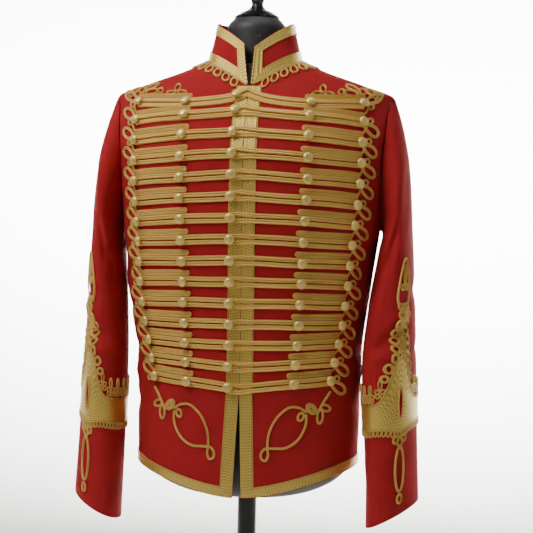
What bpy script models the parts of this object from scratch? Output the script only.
"""Hussar jacket on a black dress form with a pole and a round foot.

Metres, +Z up. The jacket's front faces -Y, the wearer's left is +X, and the origin is on the pole's
axis at the floor. The cloth is a thin wall round a torso whose level sections are rounded ovals.
Whatever is sewn on the cloth is made from the cloth's own points, moved out along its normals.
"""
import math

import bmesh
import bpy
import numpy as np

# Cloth, trim and clearances
CLOTH = 0.0020
SEAM = 0.0003
LACE_THICK = 0.0012
CORD_THICK = 0.0026
LIFT = 0.0008

# The jacket's heights above the floor
HEM_FRONT = 0.500
HEM_SIDE = 0.540
HEM_BACK = 0.536
ARMPIT = 0.885
SHOULDER = 1.081
NECK_FRONT = 1.090
NECK_SIDE = 1.135
NECK_BACK = 1.148
PARTING = 0.650
PARTING_HALF = 0.006

# The armhole bites into the front and the back by these angles
ARMHOLE_FRONT = math.radians(15.0)
ARMHOLE_BACK = math.radians(14.0)

# Columns of the panels' grids
FRONT_COLUMNS = 12
BACK_COLUMNS = 14

# Collar
COLLAR_HIGH = 0.056
COLLAR_TAPER = 0.19
COLLAR_GAP = (0.0012, 0.0095)
COLLAR_LACE = 0.015
COLLAR_RADIUS = 0.070

# Frogging: rows of braid, with buttons in three columns
ROWS = 15
ROW_TOP = 1.078
ROW_PITCH = 0.0304
BAND_HALF = 0.0060
BUTTON_RADIUS = 0.0065
BUTTON_HIGH = 0.0085
CENTRE_BUTTON = -0.016
FRONT_LACE = 0.0165
HEM_LACE = 0.0130
HEM_RADIUS = 0.126
LOOP_BIG = 0.0068
LOOP_SMALL = 0.0044
LOOP_BAND = 0.0028
CHAIN_OUT = 0.0145

# Sleeve trim, given by the height of the ring that it lies on
CUFF_LACE_LOW = 0.606
CUFF_LACE_HIGH = 0.636
CUFF_POINT = 0.030
KNOT_FORWARD = 0.020

# Stand
FOOT_RADIUS = 0.190
FOOT_THICK = 0.010
POLE_RADIUS = 0.014
FORM_LOW = 0.487
FORM_INSET = 0.010
FORM_SEAT = 0.0056
NECK_RADIUS = 0.0455
NECK_TOP = 1.198
CAP_TOP = 1.262

# Torso sections. Columns: height, half width, depth in front, depth behind, fullness of the oval
TORSO = np.array([
    (0.480, 0.172, 0.128, 0.118, 2.3),
    (0.540, 0.169, 0.125, 0.114, 2.3),
    (0.640, 0.166, 0.119, 0.104, 2.3),
    (0.720, 0.167, 0.117, 0.100, 2.3),
    (0.800, 0.176, 0.122, 0.106, 2.3),
    (0.900, 0.192, 0.131, 0.116, 2.4),
    (0.980, 0.203, 0.129, 0.120, 2.3),
    (1.040, 0.210, 0.112, 0.110, 2.1),
    (1.081, 0.208, 0.084, 0.090, 1.9),
    (1.100, 0.163, 0.071, 0.080, 1.9),
    (1.120, 0.106, 0.062, 0.070, 2.0),
    (1.140, 0.064, 0.058, 0.062, 2.0),
    (1.170, 0.058, 0.055, 0.058, 2.0),
])

# Rings of the +X sleeve. Columns: ring height, centre x, centre y, outer axis x and z,
# forward axis x, y and z
SLEEVE = np.array([
    (0.475, 0.2180, -0.042, 0.0355, 0.0175, -0.012, -0.060, -0.006),
    (0.600, 0.2150, -0.032, 0.0345, 0.0080, -0.010, -0.064, -0.004),
    (0.700, 0.2140, -0.022, 0.0330, 0.0040, -0.008, -0.067, -0.002),
    (0.780, 0.2150, -0.014, 0.0290, 0.0040, -0.005, -0.071, 0.000),
    (0.860, 0.2165, -0.008, 0.0235, 0.0100, -0.003, -0.074, 0.000),
    (0.905, 0.2160, -0.005, 0.0205, 0.0330, 0.000, -0.073, 0.000),
    (0.950, 0.2120, -0.003, 0.0165, 0.0660, 0.000, -0.070, 0.000),
    (0.983, 0.2000, 0.000, 0.0090, 0.0980, 0.000, -0.060, 0.000),
])
SLEEVE_TOP = 0.983
SLEEVE_SET = 0.050
ARMHOLE_GAP = 0.0011

# Button columns by row. Columns: row, mid column x, outer column x
COLUMNS = np.array([
    (0, 0.092, 0.169),
    (5, 0.090, 0.168),
    (7, 0.086, 0.158),
    (14, 0.075, 0.131),
])

# Neck, cap and finial of the form. Columns: radius, height
CAP_PROFILE = ((0.034, NECK_TOP + 0.0003), (0.034, 1.2010), (0.0090, 1.2180), (0.0105, 1.2280),
               (0.0160, 1.2360), (0.0185, 1.2460), (0.0150, 1.2560), (0.0070, CAP_TOP))
FOOT_PROFILE = ((FOOT_RADIUS, 0.0), (FOOT_RADIUS, 0.006), (FOOT_RADIUS - 0.004, FOOT_THICK),
                (0.060, 0.0150), (0.030, 0.0240))


def start_clean():
    """Empty scene with one collection for the object."""
    for item in list(bpy.data.objects):
        bpy.data.objects.remove(item, do_unlink=True)
    group = bpy.data.collections.new("hussar_jacket_on_dress_form")
    bpy.context.scene.collection.children.link(group)
    return group


def finish(name, colour, roughness, metallic=0.0):
    """One Principled material."""
    material = bpy.data.materials.new(name)
    material.use_nodes = True
    shader = material.node_tree.nodes["Principled BSDF"]
    shader.inputs["Base Color"].default_value = (*colour, 1.0)
    shader.inputs["Roughness"].default_value = roughness
    shader.inputs["Metallic"].default_value = metallic
    return material


def column(table, index, at):
    """Smooth value of one table column at the given stations, with no overshoot between rows."""
    order = np.argsort(table[:, 0])
    station = table[order, 0]
    value = table[order, index]
    rise = np.diff(value) / np.diff(station)
    slope = np.concatenate(([rise[0]], np.zeros(len(rise) - 1), [rise[-1]]))
    same = rise[:-1] * rise[1:] > 0
    total = np.where(same, rise[:-1] + rise[1:], 1.0)
    slope[1:-1] = np.where(same, 2 * rise[:-1] * rise[1:] / total, 0.0)
    at = np.clip(np.asarray(at, float), station[0], station[-1])
    cell = np.clip(np.searchsorted(station, at) - 1, 0, len(rise) - 1)
    span = station[cell + 1] - station[cell]
    t = (at - station[cell]) / span
    start = (1 + 2 * t) * (1 - t) ** 2 * value[cell] + t * (1 - t) ** 2 * span * slope[cell]
    end = t * t * (3 - 2 * t) * value[cell + 1] + t * t * (t - 1) * span * slope[cell + 1]
    return start + end


def torso(angle, height):
    """Point of the jacket's torso: the angle runs from centre front towards the wearer's left."""
    half = column(TORSO, 1, height)
    depth = np.where(np.cos(angle) > 0, column(TORSO, 2, height), column(TORSO, 3, height))
    full = column(TORSO, 4, height)
    across = (np.abs(np.sin(angle)) / half) ** full
    deep = (np.abs(np.cos(angle)) / depth) ** full
    radius = (across + deep) ** (-1 / full)
    return np.stack([radius * np.sin(angle), -radius * np.cos(angle), height + 0 * angle], -1)


def armhole_angle(height, front):
    """Angle at which a front or back panel ends: the side seam, or less beside the armhole."""
    share = np.clip((height - ARMPIT) / (SHOULDER - ARMPIT), 0, 1)
    bite = np.sqrt(np.clip(np.sin(math.pi * share), 0, 1))
    if front:
        return math.pi / 2 - ARMHOLE_FRONT * bite
    return math.pi / 2 + ARMHOLE_BACK * bite


def hem_height(angle):
    """Height of the hem, lowest at centre front."""
    side = np.sin(angle) ** 2
    rear = HEM_BACK + (HEM_SIDE - HEM_BACK) * side
    return np.where(np.cos(angle) > 0, HEM_FRONT + (HEM_SIDE - HEM_FRONT) * side, rear)


def neck_height(angle):
    """Height of the neck seam, lowest at centre front."""
    side = np.abs(np.sin(angle))
    rear = NECK_BACK + (NECK_SIDE - NECK_BACK) * side
    return np.where(np.cos(angle) > 0, NECK_FRONT + (NECK_SIDE - NECK_FRONT) * side, rear)


def armhole_loop(turn):
    """Armhole edge: the turn runs from the shoulder point forward and down to the armpit."""
    height = (SHOULDER + ARMPIT) / 2 + (SHOULDER - ARMPIT) / 2 * np.cos(turn)
    angle = np.where(np.sin(turn) > 0, armhole_angle(height, True), armhole_angle(height, False))
    return torso(angle, height)


def sleeve(turn, level):
    """Point of the +X sleeve: ovals by ring height, eased into the armhole's edge at the top."""
    level = np.asarray(level, float)
    values = [column(SLEEVE, index, level) for index in range(1, 8)]
    out_x, out_z, front_x, front_y, front_z = values[2:]
    cosine, sine = np.cos(turn), np.sin(turn)
    ring = np.stack([values[0] + out_x * cosine + front_x * sine,
                     values[1] + front_y * sine,
                     level + out_z * cosine + front_z * sine], -1)
    ease = np.clip((level - (SLEEVE_TOP - SLEEVE_SET)) / SLEEVE_SET, 0, 1)
    ease = (ease * ease * (3 - 2 * ease))[..., None]
    edge = armhole_loop(turn + 0 * level) + np.array([ARMHOLE_GAP, 0, 0])
    return ring * (1 - ease) + edge * ease


def lay(surface, angle, level, lift):
    """Point of a surface moved out along its normal."""
    angle, level = np.broadcast_arrays(np.asarray(angle, float), np.asarray(level, float))
    small = 1e-4
    point = surface(angle, level)
    turn = surface(angle + small, level) - surface(angle - small, level)
    rise = surface(angle, level + small) - surface(angle, level - small)
    normal = np.cross(turn, rise)
    normal = normal / np.linalg.norm(normal, axis=-1, keepdims=True)
    return point + normal * np.broadcast_to(lift, angle.shape)[..., None]


def angle_at(surface, along, level):
    """Angle whose arc length from angle zero, at that level, is the given length."""
    along, level = np.broadcast_arrays(np.asarray(along, float), np.asarray(level, float))
    fan = np.linspace(0, 0.98 * math.pi, 160)
    shape = along.shape + fan.shape
    sign = np.where(along < 0, -1.0, 1.0)
    curve = surface(np.broadcast_to(fan, shape) * sign[..., None], level[..., None] + 0 * fan)
    run = np.cumsum(np.linalg.norm(np.diff(curve, axis=-2), axis=-1), axis=-1)
    run = np.concatenate([np.zeros(along.shape + (1,)), run], axis=-1)
    flat_run = run.reshape(-1, len(fan))
    flat_along = np.abs(along).ravel()
    found = [np.interp(a, r, fan) for a, r in zip(flat_along, flat_run)]
    return np.array(found).reshape(along.shape) * sign


def arc_to(width, height):
    """Arc length along the torso, from centre front, to the point that far out from the middle."""
    half = column(TORSO, 1, height)
    full = column(TORSO, 4, height)
    deep = column(TORSO, 2, height) * (1 - (width / half) ** full) ** (1 / full)
    end = np.arctan2(width, deep)
    fan = torso(np.linspace(0, end, 120), np.full(120, height))
    return float(np.linalg.norm(np.diff(fan, axis=0), axis=1).sum())


def face_out(mesh):
    """Turn every face of a closed mesh outwards."""
    shape = bmesh.new()
    shape.from_mesh(mesh)
    bmesh.ops.recalc_face_normals(shape, faces=shape.faces)
    if shape.calc_volume(signed=True) < 0:
        bmesh.ops.reverse_faces(shape, faces=shape.faces)
    shape.to_mesh(mesh)
    shape.free()


def body(group, name, material, points, faces):
    """Named object from the points and faces of a closed body."""
    mesh = bpy.data.meshes.new(name)
    mesh.from_pydata(points.tolist(), [], faces)
    face_out(mesh)
    mesh.materials.append(material)
    thing = bpy.data.objects.new(name, mesh)
    group.objects.link(thing)
    return thing


def solid(group, name, material, top, bottom, faces):
    """Closed body from an outer and an inner set of points that share their faces."""
    count = len(top)
    faces = [tuple(face) for face in faces]
    edges = {}
    for face in faces:
        for start, end in zip(face, face[1:] + face[:1]):
            edges[(start, end)] = True
    rim = [(end, start, start + count, end + count) for start, end in edges
           if (end, start) not in edges]
    under = [tuple(index + count for index in reversed(face)) for face in faces]
    return body(group, name, material, np.vstack([top, bottom]), faces + under + rim)


def grid_faces(rows, columns, wrap=False):
    """Quads of a grid, row by row, joined round when it wraps."""
    last = columns if wrap else columns - 1
    return [(r * columns + c, r * columns + (c + 1) % columns,
             (r + 1) * columns + (c + 1) % columns, (r + 1) * columns + c)
            for r in range(rows - 1) for c in range(last)]


def sheet(group, name, material, surface, angle, level, low, high, wrap=False):
    """A grid on a surface, thickened between two heights above it."""
    rows, columns = angle.shape
    top = lay(surface, angle, level, high).reshape(-1, 3)
    bottom = lay(surface, angle, level, low).reshape(-1, 3)
    return solid(group, name, material, top, bottom, grid_faces(rows, columns, wrap))


def panel_rows(below):
    """Rows of a panel as shares of its height, with rows at the armpit and the shoulder point."""
    turn = np.arange(1, 7) * math.pi / 6
    outer = np.concatenate([np.linspace(HEM_SIDE, ARMPIT, below + 1),
                            (ARMPIT + SHOULDER) / 2 - (SHOULDER - ARMPIT) / 2 * np.cos(turn),
                            SHOULDER + (NECK_SIDE - SHOULDER) * np.array([0.38, 0.72, 0.88, 1.0])])
    return ((outer - HEM_SIDE) / (NECK_SIDE - HEM_SIDE))[:, None]


def front_panel(group, material, name, side):
    """One front: centre edge, side seam, armhole, shoulder seam and neck seam."""
    share = panel_rows(10)
    across = np.linspace(0, 1, FRONT_COLUMNS + 1)[None, :]
    angle = across * math.pi / 2 + 0 * share
    for _ in range(8):
        height = hem_height(angle) + (neck_height(angle) - hem_height(angle)) * share
        first = front_edge(height) / column(TORSO, 2, height)
        last = armhole_angle(height, True) - SEAM / 2 / column(TORSO, 1, height)
        angle = first + (last - first) * across
    return sheet(group, name, material, torso, side * angle, height, -CLOTH, 0.0)


def front_edge(height):
    """Distance of a front's centre edge from the middle: a seam gap, parting below the last row."""
    part = np.clip((PARTING - height) / (PARTING - HEM_FRONT), 0, 1)
    return SEAM / 2 + PARTING_HALF * part


def back_panel(group, material, name):
    """The back in one piece, from side seam to side seam."""
    share = panel_rows(6)
    across = np.linspace(-1, 1, BACK_COLUMNS + 1)[None, :]
    angle = math.pi - across * math.pi / 2 + 0 * share
    for _ in range(8):
        height = hem_height(angle) + (neck_height(angle) - hem_height(angle)) * share
        first = armhole_angle(height, False) + SEAM / 2 / column(TORSO, 1, height)
        angle = math.pi + (math.pi - first) * across
    return sheet(group, name, material, torso, angle, height, -CLOTH, 0.0)


def mirrored(points, side):
    """Points of a +X piece carried to the given side."""
    return points * np.array([side, 1, 1])


def sleeve_lay(side, turn, level, lift):
    """Point moved out from a sleeve, whose turn runs forward from its outer line."""
    return mirrored(lay(sleeve, turn, level, -np.asarray(lift, float)), side)


def sleeve_piece(group, material, name, side, first, last, columns):
    """Top or under piece of a sleeve, between two of its seams, cut square at the armhole."""
    level = np.concatenate([np.linspace(0.475, 0.860, 8), [0.890, 0.920, 0.948, 0.968, 0.983]])
    turn, level = np.meshgrid(np.linspace(first, last, columns), level)
    top = sleeve_lay(side, turn, level, 0.0)
    bottom = sleeve_lay(side, turn, level, -CLOTH)
    bottom[-1, :, 0] = top[-1, :, 0]
    return solid(group, name, material, top.reshape(-1, 3), bottom.reshape(-1, 3),
                 grid_faces(*turn.shape))


def collar_point(angle, share, lift):
    """Standing collar on the neck seam: it rises and narrows by the share of its height."""
    angle, share = np.broadcast_arrays(np.asarray(angle, float), np.asarray(share, float))
    foot = torso(angle, neck_height(angle))
    centre = np.array([0.0, -0.006])
    flat = foot[..., :2] - centre
    radius = np.linalg.norm(flat, axis=-1, keepdims=True)
    flat = flat * (1 - COLLAR_TAPER * share[..., None]) + flat / radius * np.asarray(lift)[..., None]
    height = neck_height(angle) + SEAM + COLLAR_HIGH * share
    return np.concatenate([flat + centre, height[..., None]], -1)


def collar(group, cloth, lace):
    """Collar in one piece, and a lace frame on each half of it."""
    share, across = np.meshgrid(np.linspace(0, 1, 3), np.linspace(-1, 1, 23), indexing="ij")
    gap = (COLLAR_GAP[0] + (COLLAR_GAP[1] - COLLAR_GAP[0]) * share) / COLLAR_RADIUS
    angle = math.pi + (math.pi - gap) * across
    zero = np.zeros_like(angle)
    solid(group, "collar", cloth, collar_point(angle, share, zero).reshape(-1, 3),
          collar_point(angle, share, zero - CLOTH).reshape(-1, 3), grid_faces(*angle.shape))
    lace_share = COLLAR_LACE / COLLAR_HIGH
    rows = np.array([0.01, lace_share, 1 - lace_share, 0.99])
    steps = np.concatenate([[0.0008, COLLAR_LACE], np.linspace(0.030, COLLAR_RADIUS * math.pi - 0.014, 12)])
    for side, word in ((-1, "right"), (1, "left")):
        share, reach = np.meshgrid(rows, steps, indexing="ij")
        gap = (COLLAR_GAP[0] + (COLLAR_GAP[1] - COLLAR_GAP[0]) * share)
        angle = side * (gap + reach) / COLLAR_RADIUS
        faces = [face for index, face in enumerate(grid_faces(*angle.shape))
                 if not (index // (len(steps) - 1) == 1 and index % (len(steps) - 1) > 0)]
        zero = np.zeros_like(angle)
        solid(group, "collar_lace_" + word, lace,
              collar_point(angle, share, zero + LIFT + LACE_THICK).reshape(-1, 3),
              collar_point(angle, share, zero + LIFT).reshape(-1, 3), faces)


def strip(group, name, material, side, along, height):
    """Flat lace on a front or the back, from a grid of arc lengths and heights."""
    angle = angle_at(torso, side * along, height)
    return sheet(group, name, material, torso, angle, height, LIFT, LIFT + LACE_THICK)


def front_laces(group, material):
    """Lace down each front's centre edge."""
    rise = panel_rows(10)
    across = np.array([0.0, 1.0])[None, :]
    for side, word in ((-1, "right"), (1, "left")):
        height = HEM_FRONT + (NECK_FRONT - HEM_FRONT) * np.clip(rise, 0.002, 0.998) + 0 * across
        strip(group, "front_edge_lace_" + word, material, side,
              front_edge(height) + SEAM + FRONT_LACE * across, height)


def hem_laces(group, material):
    """Lace along the hem of each front and of the back."""
    rise = np.array([0.0010, HEM_LACE])[:, None]
    seam = 0.003
    across = np.linspace(0, 1, FRONT_COLUMNS + 1)
    start = (FRONT_LACE + PARTING_HALF + 3 * SEAM) / HEM_RADIUS
    turn = np.maximum(across * (math.pi / 2 - seam), start)
    turn = turn[np.searchsorted(turn, start, "right") - 1:][None, :] + 0 * rise
    for side, word in ((-1, "right"), (1, "left")):
        sheet(group, "hem_lace_" + word, material, torso, side * turn, hem_height(turn) + rise,
              LIFT, LIFT + LACE_THICK)
    turn = math.pi + np.linspace(-1, 1, BACK_COLUMNS + 1) * (math.pi / 2 - seam)
    turn = turn[None, :] + 0 * rise
    sheet(group, "hem_lace_back", material, torso, turn, hem_height(turn) + rise,
          LIFT, LIFT + LACE_THICK)


def row_height(row, along, reach):
    """Height of a row of braid: nearly level, the top one dips between neck and shoulder."""
    centre = ROW_TOP - ROW_PITCH * row
    drop = (-0.006 + 0.001 * row) * (along / reach)
    dip = -0.010 * math.exp(-row * 3) * np.sin(math.pi * np.clip(along / reach, 0, 1))
    return centre + drop + dip


def row_band(group, material, name, side, row, start, buttons, end):
    """One row of paired braid with its domed buttons, laid over the edge lace near the middle."""
    swell = ((-1.0, 0.35, 0.0), (-0.72, 0.62, 0.75), (0.0, 1.0, 1.0), (0.72, 0.62, 0.75),
             (1.0, 0.35, 0.0))
    stations = [(start, BAND_HALF * 0.9, CORD_THICK)]
    for middle in buttons:
        for offset, width, rise in swell:
            wide = BAND_HALF if rise == 0 else max(BAND_HALF, BUTTON_RADIUS * width)
            stations.append((middle + offset * BUTTON_RADIUS, wide,
                             CORD_THICK + (BUTTON_HIGH - CORD_THICK) * rise))
    lace_end = FRONT_LACE + 2 * SEAM + 0.0008
    stations += [(lace_end, BAND_HALF, CORD_THICK), (lace_end + 0.004, BAND_HALF, CORD_THICK)]
    for before, after in zip(buttons[-2:], buttons[-1:]):
        stations += [(before + (after - before) * share, BAND_HALF, CORD_THICK)
                     for share in (0.30, 0.58, 0.80)]
    stations += [(lace_end + (buttons[-2] - lace_end) * share, BAND_HALF, CORD_THICK)
                 for share in (0.35, 0.64)]
    stations.append((end, BAND_HALF * 0.8, CORD_THICK))
    stations.sort()
    table = np.array(stations)
    along = table[:, 0][:, None]
    across = np.array([-1.0, 0.0, 1.0])[None, :]
    height = row_height(row, np.abs(along), end) + table[:, 1][:, None] * across
    base = np.where(table[:, 0] < lace_end + 0.001, 2 * LIFT + LACE_THICK, LIFT)[:, None]
    lift = base + table[:, 2][:, None] * np.array([0.0, 1.0, 0.0])[None, :]
    angle = angle_at(torso, side * along + 0 * across, height)
    points = lay(torso, angle, height, lift).reshape(-1, 3)
    last = 3 * (len(table) - 1)
    faces = grid_faces(len(table), 3)
    faces += [(3 * k, 3 * k + 2, 3 * k + 5, 3 * k + 3) for k in range(len(table) - 1)]
    faces += [(0, 1, 2), (last, last + 2, last + 1)]
    return body(group, name, material, points, faces)


def ring(centre, half_wide, half_high, count, band, turned=0.0):
    """Flat loop of cord: outer and inner points, or no inner ones where the hole is too small."""
    turn = turned + (np.arange(count) + 0.5) * 2 * math.pi / count
    shape = np.stack([np.cos(turn), np.sin(turn)], -1)
    outer = np.array(centre) + shape * np.array([half_wide, half_high])
    if min(half_wide, half_high) - band < 0.0021:
        return outer, outer[:0]
    inner = np.array(centre) + shape * np.array([half_wide - band, half_high - band])
    return outer, inner


def flat_figure(loops, links):
    """Points and faces of flat loops joined by short bridges between their facing edges."""
    points, faces, outers = [], [], []
    for outer, inner in loops:
        first = len(points)
        count = len(outer)
        points += [tuple(point) for point in outer] + [tuple(point) for point in inner]
        outers.append((first, outer))
        if not len(inner):
            faces.append(tuple(range(first, first + count)))
            continue
        for index in range(count):
            following = (index + 1) % count
            faces.append((first + index, first + following, first + count + following,
                          first + count + index))
    for one, other in links:
        facing = []
        for here, there in ((one, other), (other, one)):
            first, outer = outers[here]
            middle = (outer + np.roll(outer, -1, axis=0)) / 2
            target = outers[there][1].mean(axis=0)
            nearest = int(np.argmin(np.linalg.norm(middle - target, axis=1)))
            facing.append((first + nearest, first + (nearest + 1) % len(outer)))
        (a, b), (c, d) = facing
        faces.append((b, a, d, c))
    return np.array(points), faces


def figure(group, name, material, place, points, faces, low=LIFT, high=LIFT + CORD_THICK * 0.8):
    """A flat figure put on a surface as a raised cord."""
    count = len(points)
    along, level = points[:, 0], points[:, 1]
    top = place(along, level, np.full(count, high))
    bottom = place(along, level, np.full(count, low))
    return solid(group, name, material, top, bottom, faces)


def on_front(side):
    """Placing rule for a front: arc length from the middle, height above the floor."""
    def place(along, level, lift):
        return lay(torso, angle_at(torso, side * along, level), level, lift)
    return place


def on_sleeve(side):
    """Placing rule for a sleeve: arc length forward from its outer line, ring height."""
    def place(along, level, lift):
        return sleeve_lay(side, angle_at(sleeve, along, level), level, lift)
    return place


def chain_reach(row):
    """Arc length from centre front to the outer buttons of a row."""
    return arc_to(float(column(COLUMNS, 2, row)), ROW_TOP - ROW_PITCH * row)


def side_chain(group, material, name, side, reaches, middles):
    """Loops down the outer ends of the rows, hairpins between rows and a knot on the shoulder."""
    loops = []
    for row in range(ROWS):
        height = float(row_height(row, reaches[row], reaches[row]))
        loops.append(ring((reaches[row] + CHAIN_OUT, height), LOOP_BIG, LOOP_BIG, 6, LOOP_BAND,
                          math.pi / 6))
        if row < ROWS - 1:
            between = (reaches[row] + reaches[row + 1]) / 2
            loops.append(ring((between + CHAIN_OUT - 0.002, height - ROW_PITCH / 2),
                              LOOP_SMALL, LOOP_SMALL, 8, LOOP_BAND))
    links = [(index, index + 1) for index in range(len(loops) - 1)]
    for step, (wide, high) in enumerate(((0.0060, 0.0032), (0.0066, 0.0038), (0.0060, 0.0032))):
        loops.append(ring((reaches[0] + 0.0120 - 0.0165 * step, ROW_TOP + 0.0100), wide, high, 8,
                          LOOP_BAND))
        links.append((len(loops) - 2 if step else 0, len(loops) - 1))
    points, faces = flat_figure(loops, links)
    points = points.tolist()
    for row in range(ROWS - 1):
        small = 1 + 2 * row
        first = sum(len(outer) + len(inner) for outer, inner in loops[:small])
        outer = loops[small][0]
        middle = (outer + np.roll(outer, -1, axis=0)) / 2
        inward = int(np.argmin(middle[:, 0]))
        a, b = first + inward, first + (inward + 1) % len(outer)
        stop = (middles[row] + middles[row + 1]) / 2 - 0.004
        base = len(points)
        start = outer[:, 0].min() - 0.003
        for share in (0.0, 0.2, 0.45, 0.72, 1.0):
            along = start + (stop - start) * share
            height = (row_height(row, along, reaches[row])
                      + row_height(row + 1, along, reaches[row + 1])) / 2
            points += [(along, height + 0.0032), (along, height - 0.0032)]
        faces.append((b, a, base, base + 1))
        faces += [(base + 2 * k + 1, base + 2 * k, base + 2 * k + 2, base + 2 * k + 3) for k in range(4)]
    figure(group, name, material, on_front(side), np.array(points), faces)


def hem_knot(group, material, name, side, reach):
    """Trefoil and a long almond loop below the last row, towards the front."""
    loops = [ring((reach + 0.001, 0.641), 0.0050, 0.0050, 6, LOOP_BAND),
             ring((reach - 0.010, 0.628), 0.0050, 0.0050, 6, LOOP_BAND),
             ring((reach - 0.019, 0.637), 0.0075, 0.0055, 6, LOOP_BAND),
             ring((reach - 0.013, 0.615), 0.0052, 0.0068, 6, LOOP_BAND)]
    almond = []
    tip, foot = (reach - 0.030, 0.626), (reach - 0.074, 0.564)
    for turn in np.arange(12) * 2 * math.pi / 12:
        along = (1 - math.cos(turn)) / 2
        bow = 0.017 * math.sin(turn) * (1.0 - 0.25 * math.cos(turn))
        almond.append((tip[0] + (foot[0] - tip[0]) * along - bow * 0.82,
                       tip[1] + (foot[1] - tip[1]) * along + bow * 0.57))
    almond = np.array(almond)
    if np.cross(almond[1] - almond[0], almond[2] - almond[1]) < 0:
        almond = almond[::-1]
    centre = almond.mean(axis=0)
    span = np.linalg.norm(almond - centre, axis=1, keepdims=True)
    loops.append((almond, almond - (almond - centre) / span * LOOP_BAND))
    loops.append(ring((foot[0] - 0.006, foot[1] - 0.010), 0.0052, 0.0068, 6, LOOP_BAND))
    links = [(0, 1), (1, 2), (1, 3), (2, 4), (4, 5)]
    points, faces = flat_figure(loops, links)
    figure(group, name, material, on_front(side), points, faces)


def neck_loops(group, material):
    """Small loops of cord round the neck, under the collar, joined side by side."""
    def place(angle, drop, lift):
        return lay(torso, angle, neck_height(angle) - drop, lift)
    first, count = 0.30, 39
    step = 2 * (math.pi - first) / (count - 1)
    outline = ((-0.052, 0.25), (-0.032, 1.90), (0.032, 1.90), (0.052, 0.25))
    points, faces = [], []
    for index in range(count):
        middle = first + step * index
        depth = 0.0062 - 0.0020 * math.sin(middle) ** 2
        base = 4 * index
        points += [(middle + across, depth * down) for across, down in outline]
        faces.append((base, base + 1, base + 2, base + 3))
        if index:
            faces.append((base - 1, base - 2, base + 1, base))
    figure(group, "neck_loops", material, place, np.array(points), faces)


def cuff_lace(group, material, name, side):
    """Gold lace round the sleeve, rising to a point on its outer line."""
    turn, share = np.meshgrid(np.linspace(0, 2 * math.pi, 28, endpoint=False), np.array([0.0, 1.0]))
    peak = np.exp(-((np.mod(turn + math.pi, 2 * math.pi) - math.pi - 0.35) / 0.55) ** 2)
    level = CUFF_LACE_LOW + (CUFF_LACE_HIGH - CUFF_LACE_LOW) * share
    level = level + CUFF_POINT * peak * share + 0.012 * peak * (share - 0.5)
    top = sleeve_lay(side, turn, level, LIFT + LACE_THICK).reshape(-1, 3)
    bottom = sleeve_lay(side, turn, level, LIFT).reshape(-1, 3)
    solid(group, name, material, top, bottom, grid_faces(*turn.shape, wrap=True))


def sleeve_knot(group, material, name, side):
    """Tall knot above the cuff lace on the outer line: trefoils, side loops and a long tip."""
    line = KNOT_FORWARD
    loops = [ring((line, 0.690), 0.0110, 0.0130, 8, LOOP_BAND)]
    links = []
    for step in range(3):
        height = 0.716 + 0.0215 * step
        loops.append(ring((line, height), 0.0060, 0.0080, 6, LOOP_BAND))
        links.append((len(loops) - 4 if step else 0, len(loops) - 1))
        for way in (-1, 1):
            loops.append(ring((line + way * 0.0140, height), 0.0048, 0.0060, 6, LOOP_BAND))
            links.append((len(loops) - (2 if way < 0 else 3), len(loops) - 1))
    loops.append(ring((line, 0.800), 0.0075, 0.0230, 10, LOOP_BAND))
    links.append((7, len(loops) - 1))
    loops.append(ring((line, 0.834), 0.0042, 0.0075, 6, LOOP_BAND))
    links.append((len(loops) - 2, len(loops) - 1))
    points, faces = flat_figure(loops, links)
    figure(group, name, material, on_sleeve(side), points, faces)


def cuff_drop(group, material, name, side):
    """Long almond loop and a round end below the cuff lace."""
    line = KNOT_FORWARD
    loops = [ring((line, 0.584), 0.0060, 0.0060, 6, LOOP_BAND),
             ring((line, 0.542), 0.0090, 0.0320, 12, LOOP_BAND),
             ring((line, 0.496), 0.0055, 0.0075, 6, LOOP_BAND)]
    points, faces = flat_figure(loops, [(0, 1), (1, 2)])
    figure(group, name, material, on_sleeve(side), points, faces)


def form_point(angle, height):
    """Dress form inside the jacket: a bowl underneath, the torso, then the neck."""
    seat = np.clip((height - 0.96) / 0.08, 0, 1)
    trunk = lay(torso, angle, height, -(FORM_INSET + (FORM_SEAT - FORM_INSET) * seat))
    bowl = np.clip((height - FORM_LOW) / 0.060, 0, 1)
    trunk[..., :2] *= (0.16 + 0.84 * np.sqrt(1 - (1 - bowl) ** 2))[..., None]
    trunk[..., 2] = np.where(bowl < 1, height, trunk[..., 2])
    radius = NECK_RADIUS - 0.011 * np.clip((height - 1.180) / 0.018, 0, 1) ** 2
    neck = np.stack([radius * np.sin(angle), -radius * np.cos(angle), height], -1)
    inside = (height > 1.125) | (np.linalg.norm(trunk[..., :2], axis=-1) < NECK_RADIUS)
    return np.where((inside & (height > 1.0))[..., None], neck, trunk)


def dress_form(group, material):
    """Closed trunk with its neck."""
    levels = np.array([0.487, 0.4885, 0.495, 0.508, 0.530, 0.560, 0.640, 0.730, 0.810, 0.900,
                       0.980, 1.040, 1.070, 1.092, 1.110, 1.130, 1.182, NECK_TOP])
    height, angle = np.meshgrid(levels, np.linspace(0, 2 * math.pi, 14, endpoint=False), indexing="ij")
    points = form_point(angle, height).reshape(-1, 3)
    rows, columns = angle.shape
    caps = [tuple(range(columns)), tuple((rows - 1) * columns + c for c in range(columns))]
    body(group, "form_trunk", material, points, grid_faces(rows, columns, True) + caps)


def turned(group, name, material, profile, steps):
    """Closed turned solid from an outer profile of radius and height, low to high."""
    outline = [(0.0, profile[0][1])] + list(profile) + [(0.0, profile[-1][1])]
    mesh = bpy.data.meshes.new(name)
    outline.reverse()
    mesh.from_pydata([(radius, 0, height) for radius, height in outline],
                     [(k, k + 1) for k in range(len(outline) - 1)], [])
    mesh.materials.append(material)
    thing = bpy.data.objects.new(name, mesh)
    group.objects.link(thing)
    screw = thing.modifiers.new("turn", "SCREW")
    screw.steps = steps
    screw.render_steps = steps
    screw.use_merge_vertices = True
    screw.merge_threshold = 0.00005
    return thing


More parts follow.
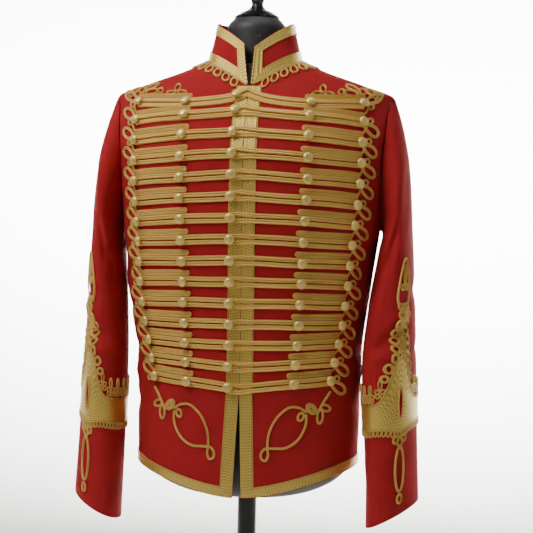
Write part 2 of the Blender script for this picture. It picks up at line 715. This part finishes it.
def pole(group, material):
    """Round pole from the foot to the trunk."""
    low = FOOT_PROFILE[-1][1] + SEAM
    high = FORM_LOW - SEAM
    bpy.ops.mesh.primitive_cylinder_add(vertices=20, radius=POLE_RADIUS, depth=high - low,
                                        location=(0, 0, (high + low) / 2))
    thing = bpy.context.active_object
    thing.name = "pole"
    thing.data.materials.append(material)
    for owner in list(thing.users_collection):
        owner.objects.unlink(thing)
    group.objects.link(thing)


def main():
    """All the pieces of the jacket and its stand."""
    group = start_clean()
    red = finish("scarlet_broadcloth", (0.52, 0.012, 0.016), 0.85)
    gold = finish("gold_russia_braid", (0.60, 0.36, 0.09), 0.45, 0.4)
    lace = finish("gold_bullion_lace", (0.62, 0.38, 0.10), 0.40, 0.5)
    black = finish("black_satin_cover", (0.012, 0.012, 0.013), 0.40)
    iron = finish("black_painted_iron", (0.010, 0.010, 0.010), 0.30, 0.2)

    front_panel(group, red, "front_right", -1)
    front_panel(group, red, "front_left", 1)
    back_panel(group, red, "back")
    forward = math.radians(100)
    seam = SEAM / 2 / 0.05
    for side, word in ((-1, "right"), (1, "left")):
        sleeve_piece(group, red, "sleeve_top_" + word, side, -forward + seam, forward - seam, 9)
        sleeve_piece(group, red, "sleeve_under_" + word, side, forward + seam,
                     2 * math.pi - forward - seam, 7)
    collar(group, red, lace)
    front_laces(group, lace)
    hem_laces(group, lace)
    reaches = [chain_reach(row) for row in range(ROWS)]
    middles = [arc_to(float(column(COLUMNS, 1, row)), ROW_TOP - ROW_PITCH * row)
               for row in range(ROWS)]
    for side, word in ((-1, "right"), (1, "left")):
        for row in range(ROWS):
            buttons = [middles[row], reaches[row]]
            start = CENTRE_BUTTON + BUTTON_RADIUS + SEAM
            if side < 0:
                buttons.insert(0, -CENTRE_BUTTON)
                start = -CENTRE_BUTTON - BUTTON_RADIUS
            row_band(group, gold, "braid_row_%02d_%s" % (row + 1, word), side, row, start, buttons,
                     reaches[row] + BUTTON_RADIUS + 0.0004)
        side_chain(group, gold, "side_loops_" + word, side, reaches, middles)
        hem_knot(group, gold, "hem_knot_" + word, side, reaches[-1])
        cuff_lace(group, lace, "cuff_lace_" + word, side)
        sleeve_knot(group, gold, "sleeve_knot_" + word, side)
        cuff_drop(group, gold, "cuff_drop_" + word, side)
    neck_loops(group, gold)
    dress_form(group, black)
    turned(group, "cap_and_finial", iron, CAP_PROFILE, 12)
    turned(group, "foot", iron, FOOT_PROFILE, 28)
    pole(group, iron)


if __name__ == "__main__":
    main()
